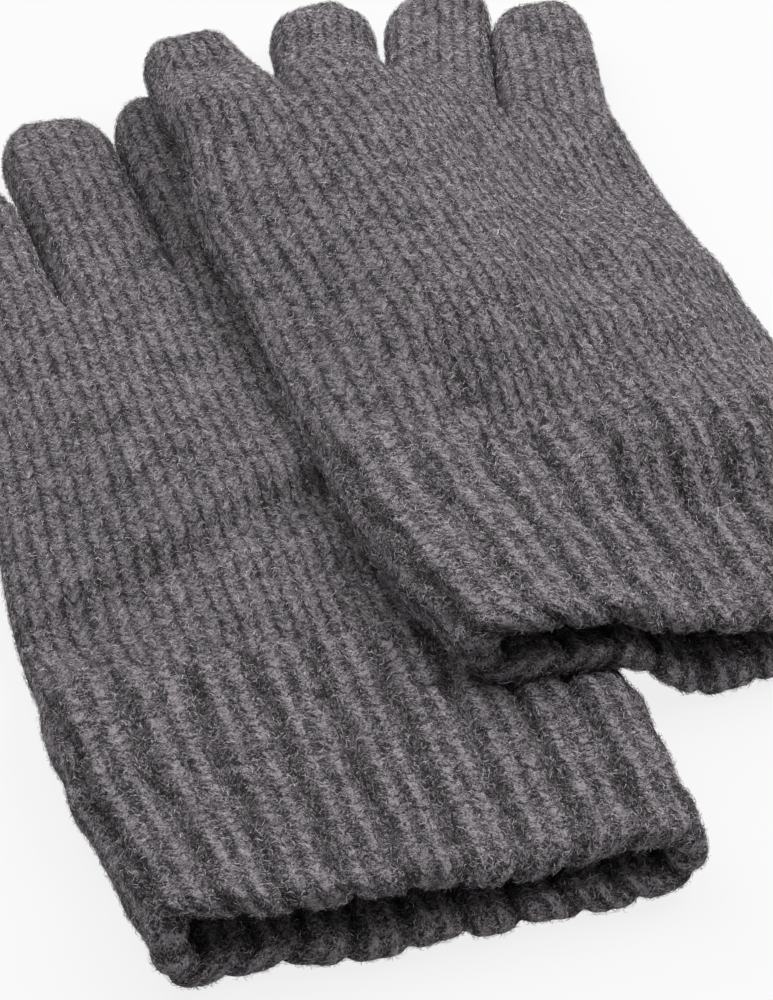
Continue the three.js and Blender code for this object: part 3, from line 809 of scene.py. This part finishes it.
def finger_grid(glove, name):
    """A finger's tube from the roots to its closed tip, and the row where its touch tip begins."""
    root, length, lean = glove.fingers[name]
    shorter, turned, narrowed = RESTING[glove.name, name]
    middle = (NAMES.index(name) - 1.5) * FINGER_PITCH
    length = length - shorter
    slope = math.tan(math.radians(lean + turned))
    straight = length - TIP_RADIUS
    touch = min(length + shorter - TOUCH_TIP_LENGTH, straight - 1.5)
    runs = [np.linspace(0, touch, 34), np.linspace(touch, straight, 8)[1:]]
    turns = np.linspace(0, LAST_TURN, 22)[1:]
    along = np.concatenate([*runs, straight + TIP_RADIUS * np.sin(turns)])[:, None]
    share = np.concatenate([np.ones(sum(map(len, runs))), np.cos(turns)])[:, None]

    q = np.linspace(-1, 1, STEPS + 1)
    settle = smooth(0, 9, along)
    half_width = lerp(FINGER_PITCH, FINGER_WIDTH, settle) / 2 * share**0.92
    thinner = narrowed * smooth(0.35 * length, 0.85 * length, along)
    half_width = half_width * (1 - thinner)
    # The tube is fullest along its middle, and a little rounder than the hand.
    fullness = 1 + 0.06 * smooth(4, 16, along) * (1 - smooth(straight, length, along))
    half_height = HAND_HEIGHT / 2 * share**0.62 * fullness
    half_height = np.minimum(half_height, half_width * 0.98)
    across, up = half_section(q[None, :], half_width, half_height)
    s = middle + np.concatenate([across, across[:, -2:0:-1]], axis=1)
    up = np.concatenate([up, -up[:, -2:0:-1]], axis=1)
    bow = (1 - smooth(0, straight, along)) * (glove.root_line(s) - root)
    y = root + along + bow
    z = HAND_HEIGHT / 2 * lerp(1, 0.9, 1 - share) + up
    edge_share = np.clip(up / half_height, 0, 1)
    z = z + relief(glove, s, y, edge_share) * share
    s = s + along * slope - thinner * FINGER_WIDTH / 2 * 0.8

    u = middle / WALE + ring_stitches(across, half_width, half_height, FINGER_STITCHES)
    v = (y + 0 * s) / ROW
    v = np.concatenate([v, v[:, :1]], axis=1)
    return Grid(s, y, z, u, v), len(runs[0]) - 1


THUMB_STRAIGHT = THUMB_LENGTH - THUMB_TIP_RADIUS
THUMB_HEEL = THUMB_WIDTH / 2


def thumb_share(along):
    """The share of a thumb's full section, down to nearly 0 at the ends of its round tip."""
    past = np.clip((along - THUMB_STRAIGHT) / THUMB_TIP_RADIUS, 0, 1)
    return np.sqrt(np.clip(1 - past**2, SMALLEST_SHARE, 1))


def thumb_alongs(first):
    """How far along the thumb each row lies, and the row where the touch tip begins."""
    turns = np.linspace(0, LAST_TURN, 18)[1:]
    touch = THUMB_LENGTH - TOUCH_TIP_LENGTH
    before = np.linspace(first, touch, 44)
    after = np.linspace(touch, THUMB_STRAIGHT, 7)[1:]
    alongs = np.concatenate([before, after, THUMB_STRAIGHT + THUMB_TIP_RADIUS * np.sin(turns)])
    return alongs, len(before) - 1


def thumb_grid(s0, y0, heading, share, flare, along, height=THUMB_HEIGHT):
    """A thumb's tube round a centre line. Its section stands across the heading."""
    q = np.linspace(-1, 1, STEPS + 1)[None, :]
    half_width = (THUMB_WIDTH / 2 + flare) * share**0.92
    half_height = np.minimum(height / 2 * share**0.62, half_width * 0.98)
    across, up = half_section(q, half_width, half_height)
    ring_across = np.concatenate([across, across[:, -2:0:-1]], axis=1)
    ring_up = np.concatenate([up, -up[:, -2:0:-1]], axis=1)
    s = s0 + ring_across * np.cos(heading)
    y = y0 - ring_across * np.sin(heading)
    z = THUMB_HEIGHT / 2 + ring_up
    u = ring_stitches(across, half_width, half_height, THUMB_STITCHES)
    v = along / ROW + 0 * u
    return Grid(s, y, z, u, v)


def side_thumb_grid():
    """The left thumb leaves the hand's edge squarely and turns towards the fingers."""
    alongs, touch_row = thumb_alongs(-4.0)
    fine = np.linspace(alongs[0], alongs[-1], 1500)
    headings = lerp(math.pi / 2, SIDE_THUMB_HEADING, smooth(0, 18, np.maximum(fine, 0)))
    step = fine[1] - fine[0]
    s_line = -HAND_WIDTH / 2 - 0.4 - np.cumsum(np.sin(headings)) * step
    y_line = THUMB_ROOT_Y + np.cumsum(np.cos(headings)) * step
    s_line += -HAND_WIDTH / 2 - 0.4 - np.interp(0, fine, s_line)
    y_line += THUMB_ROOT_Y - np.interp(0, fine, y_line)
    s0, y0 = np.interp(alongs, fine, s_line)[:, None], np.interp(alongs, fine, y_line)[:, None]
    heading = -np.interp(alongs, fine, headings)[:, None]
    along = alongs[:, None]
    flare = 5.0 * (1 - smooth(-4, 14, along))
    return thumb_grid(s0, y0, heading, thumb_share(along), flare, along), touch_row


def tucked_thumb_grid():
    """The right thumb lies folded under the palm."""
    alongs, touch_row = thumb_alongs(0.0)
    turns = np.linspace(LAST_TURN, 0, 14)[:-1]
    along = np.concatenate([-THUMB_HEEL * np.sin(turns), alongs])[:, None]
    heel_share = np.sqrt(np.clip(1 - (along / THUMB_HEEL) ** 2, SMALLEST_SHARE, 1))
    share = np.where(along < 0, heel_share, thumb_share(along))
    s0 = TUCKED_THUMB_S + along * math.sin(TUCKED_THUMB_HEADING)
    y0 = THUMB_ROOT_Y + along * math.cos(TUCKED_THUMB_HEADING)
    heading = np.full_like(along, TUCKED_THUMB_HEADING)
    grid = thumb_grid(s0, y0, heading, share, 0.0, along, TUCKED_THUMB_HEIGHT)
    return grid, touch_row + len(turns)


# ---------- fuzz: loose fibres that stand off the knit ----------


def fuzz(name, points, count, seed, length=(0.7, 1.9), width=0.08):
    """Curled ribbons of fibre, rooted at random over a grid of points in metres."""
    rng = np.random.default_rng(seed)
    n = outward(points)
    rows, ring = points.shape[:2]
    # Cells are drawn by their area, so that the fibres are even.
    a = points[:-1]
    b = points[1:]
    ahead = np.roll(points, -1, axis=1)[:-1]
    area = np.linalg.norm(np.cross(b - a, ahead - a), axis=-1).ravel()
    cell = rng.choice(area.size, count, p=area / area.sum())
    r, i = cell // ring, cell % ring
    fr, fi = rng.random((2, count, 1))
    j = (i + 1) % ring
    near, far = lerp(points[r, i], points[r, j], fi), lerp(points[r + 1, i], points[r + 1, j], fi)
    base = lerp(near, far, fr)
    normal = n[r, i]
    side = rng.normal(size=(count, 3))
    side -= normal * np.sum(side * normal, axis=1, keepdims=True)
    side /= np.linalg.norm(side, axis=1, keepdims=True) + 1e-9
    other = np.cross(normal, side)
    size = rng.uniform(*length, (count, 1)) * MM
    rise = rng.uniform(0.15, 0.75, (count, 1))
    curl = rng.uniform(-1.3, 1.3, (count, 1))
    line = []
    for k in range(3):
        t = k / 2
        across = np.cos(curl * t) * side + np.sin(curl * t) * other
        height = rise * (t * (1.25 - 0.75 * t * t)) - 0.03
        line.append(base + size * (across * t * (1 - 0.3 * rise) + normal * height))
    line = np.stack(line, axis=1)
    heading = line[:, -1] - line[:, 0]
    flat_way = np.cross(heading, rng.normal(size=(count, 3)))
    flat_way /= np.linalg.norm(flat_way, axis=1, keepdims=True) + 1e-9
    half = np.array([0.5, 0.42, 0.12])[None, :, None] * width * MM
    left, right = line - flat_way[:, None] * half, line + flat_way[:, None] * half
    vertices = np.stack([left, right], axis=2).reshape(count, 6, 3)
    quads = np.array([[0, 1, 3, 2], [2, 3, 5, 4]])
    faces = (np.arange(count)[:, None, None] * 6 + quads[None]).reshape(-1, 4)
    shade = rng.beta(0.55, 1.0, count)
    uv = np.stack([np.repeat(shade, 8), np.tile([0.0, 0.0, 1.0, 1.0], count * 2)], axis=-1)
    return make_object(name, vertices.reshape(-1, 3), faces, uv, FUZZ)


# ---------- building the pair ----------


def ride_or_blend(obj, bodies, bend):
    if bend is None:
        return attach(obj, bodies[-1])
    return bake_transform(obj)


def dress(name, points, grid, material, bodies, bend, replaced, fibres, seed, flip):
    """One knitted skin and its fuzz, both handled alike: carried by the last of the bodies, or, where bend
    is given, left fixed in place.
    """
    skin = tube(name, points, grid, material, flip)
    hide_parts(*replaced)
    ride_or_blend(skin, bodies, bend)
    if fibres:
        hair = fuzz(f"{name}_fuzz", points, fibres, seed)
        ride_or_blend(hair, bodies, bend)
    return skin


def build_cuff(glove):
    grid, points = cuff_points(glove)
    return dress(
        f"{glove.name}_cuff_knit", points, grid, RIBBED, [f"{glove.name}_glove"], None,
        [f"{glove.name}_cuff", f"{glove.name}_cuff_facing"],
        CUFF_FIBRES, glove.seed + 10, glove.side > 0,
    )


def build_hand(glove):
    grid, back = hand_grid(glove)
    points = glove.place(grid.s, grid.y, grid.z, back)
    dress(
        f"{glove.name}_hand_knit", points, grid, PLAIN, [f"{glove.name}_glove"], None,
        [f"{glove.name}_hand"], HAND_FIBRES, glove.seed + 20, glove.side < 0,
    )


def build_finger(glove, name, seed):
    grid, touch = finger_grid(glove, name)
    points = glove.place(grid.s, grid.y, grid.z)
    root, _, lean = glove.fingers[name]
    middle = (NAMES.index(name) - 1.5) * FINGER_PITCH
    first = float(np.max(glove.root_line(grid.s[0]))) + 0.5
    slope = math.tan(math.radians(lean))
    ends = [glove.point(middle + (y - root) * slope, y, HAND_HEIGHT / 2) for y in (first, first + 13)]
    bodies = [f"{glove.name}_glove", f"{glove.name}_{name}"]
    label = f"{glove.name}_{name}"
    flip = glove.side < 0
    if name == "index":
        dress(
            f"{label}_knit", points[: touch + 1], grid.rows(0, touch + 1), PLAIN,
            bodies, ends, [f"{label}_finger"], INDEX_FIBRES[0], seed, flip,
        )
        dress(
            f"{label}_touch_knit", points[touch:], grid.rows(touch, None), TOUCH,
            bodies[1:], None, [f"{label}_touch_tip"], INDEX_FIBRES[1], seed + 1, flip,
        )
    else:
        dress(
            f"{label}_knit", points, grid, PLAIN, bodies, ends,
            [f"{label}_finger"], FINGER_FIBRES, seed, flip,
        )


def build_thumb(glove):
    label = f"{glove.name}_thumb"
    if glove is LEFT:
        grid, touch = side_thumb_grid()
        points = glove.place(grid.s, grid.y, grid.z)
        bend = [glove.point(-HAND_WIDTH / 2 - d, THUMB_ROOT_Y, 4.0) for d in (0.0, 12.0)]
        bodies = ["left_glove", "left_thumb"]
    else:
        grid, touch = tucked_thumb_grid()
        level = Glove("tucked", RIGHT.side, 0, {}, RIGHT.mouth, RIGHT.turn, tucked_thumb_height, 0)
        points = level.place(grid.s, grid.y, grid.z)
        bend = None
        bodies = ["right_thumb"]
    flip = glove.side > 0
    dress(
        f"{label}_knit", points[: touch + 1], grid.rows(0, touch + 1), PLAIN,
        bodies, bend, [label], THUMB_FIBRES[0], glove.seed + 60, flip,
    )
    dress(
        f"{label}_touch_knit", points[touch:], grid.rows(touch, None), TOUCH,
        bodies[-1:], None, [f"{label}_touch_tip"], THUMB_FIBRES[1], glove.seed + 61, flip,
    )


def build_label(glove):
    """The blank care label, sewn inside the mouth on the palm's side."""
    width, length, s0, y0 = 14.0, 15.0, 31.0, 6.0
    a = np.linspace(-width / 2, width / 2, 15)
    b = np.linspace(0, length, 16)
    y, s = np.meshgrid(b, a, indexing="ij")
    z = LIP + 1.5 + 0.25 * np.sin(s * 0.5 + y * 0.2)
    points = glove.place(s0 + s, y0 + y, z)
    rows, count = s.shape
    r, i = np.meshgrid(np.arange(rows - 1), np.arange(count - 1), indexing="ij")
    corner = r * count + i
    faces = np.stack([corner, corner + 1, corner + count + 1, corner + count], -1).reshape(-1, 4)
    uv = np.stack([(s / width + 0.5).ravel(), (y / length).ravel()], -1)[faces.ravel()]
    obj = make_object(f"{glove.name}_care_label_tape", points.reshape(-1, 3), faces, uv, LABEL)
    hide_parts(f"{glove.name}_care_label")
    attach(obj, f"{glove.name}_glove")


for glove in (LEFT, RIGHT):
    cuff = build_cuff(glove)
    build_hand(glove)
    for k, finger_name in enumerate(NAMES):
        build_finger(glove, finger_name, glove.seed + 30 + 2 * k)
    build_thumb(glove)
    build_label(glove)

# ---------- floor, light and camera ----------


def build_floor():
    low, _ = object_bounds()
    mesh = bpy.data.meshes.new("floor")
    half = 4.0
    z = float(min(low.z, 0.0)) - 0.0002
    corners = [(-half, -half, z), (half, -half, z), (half, half, z), (-half, half, z)]
    mesh.from_pydata(corners, [], [(0, 1, 2, 3)])
    m = Shader("pale_floor")
    m.surface.inputs["Base Color"].default_value = (0.06, 0.06, 0.06, 1)
    m.surface.inputs["Emission Color"].default_value = (1, 1, 1, 1)
    m.surface.inputs["Emission Strength"].default_value = 0.84
    m.surface.inputs["Roughness"].default_value = 0.9
    m.surface.inputs["Specular IOR Level"].default_value = 0.1
    mesh.materials.append(m.material)
    floor = bpy.data.objects.new("floor", mesh)
    bpy.context.scene.collection.objects.link(floor)


def build_light():
    world = bpy.data.worlds.new("studio")
    world.use_nodes = True
    background = world.node_tree.nodes["Background"]
    background.inputs["Color"].default_value = (1, 1, 1, 1)
    background.inputs["Strength"].default_value = 0.35
    bpy.context.scene.world = world
    for name, place, size, power in (
        ("back_light", (-0.32, 0.42, 0.82), 0.9, 11.0),
        ("right_light", (0.40, -0.04, 0.56), 0.5, 5.6),
    ):
        light = bpy.data.lights.new(name, "AREA")
        light.size = size
        light.energy = power
        obj = bpy.data.objects.new(name, light)
        obj.location = place
        obj.rotation_mode = "QUATERNION"
        obj.rotation_quaternion = (-Vector(place)).to_track_quat("-Z", "Y")
        bpy.context.scene.collection.objects.link(obj)
    bpy.context.scene.view_settings.view_transform = "Standard"


def build_camera():
    data = bpy.data.cameras.new("camera")
    data.sensor_width = 36
    data.lens = 151.2
    camera = bpy.data.objects.new("camera", data)
    camera.location = (np.array([-145.9, -497.5, 498.0]) + ORIGIN) * MM
    camera.rotation_mode = "QUATERNION"
    camera.rotation_quaternion = Vector((0.2106, 0.7593, -0.6157)).to_track_quat("-Z", "Y")
    bpy.context.scene.collection.objects.link(camera)
    bpy.context.scene.camera = camera


build_floor()
build_light()
build_camera()
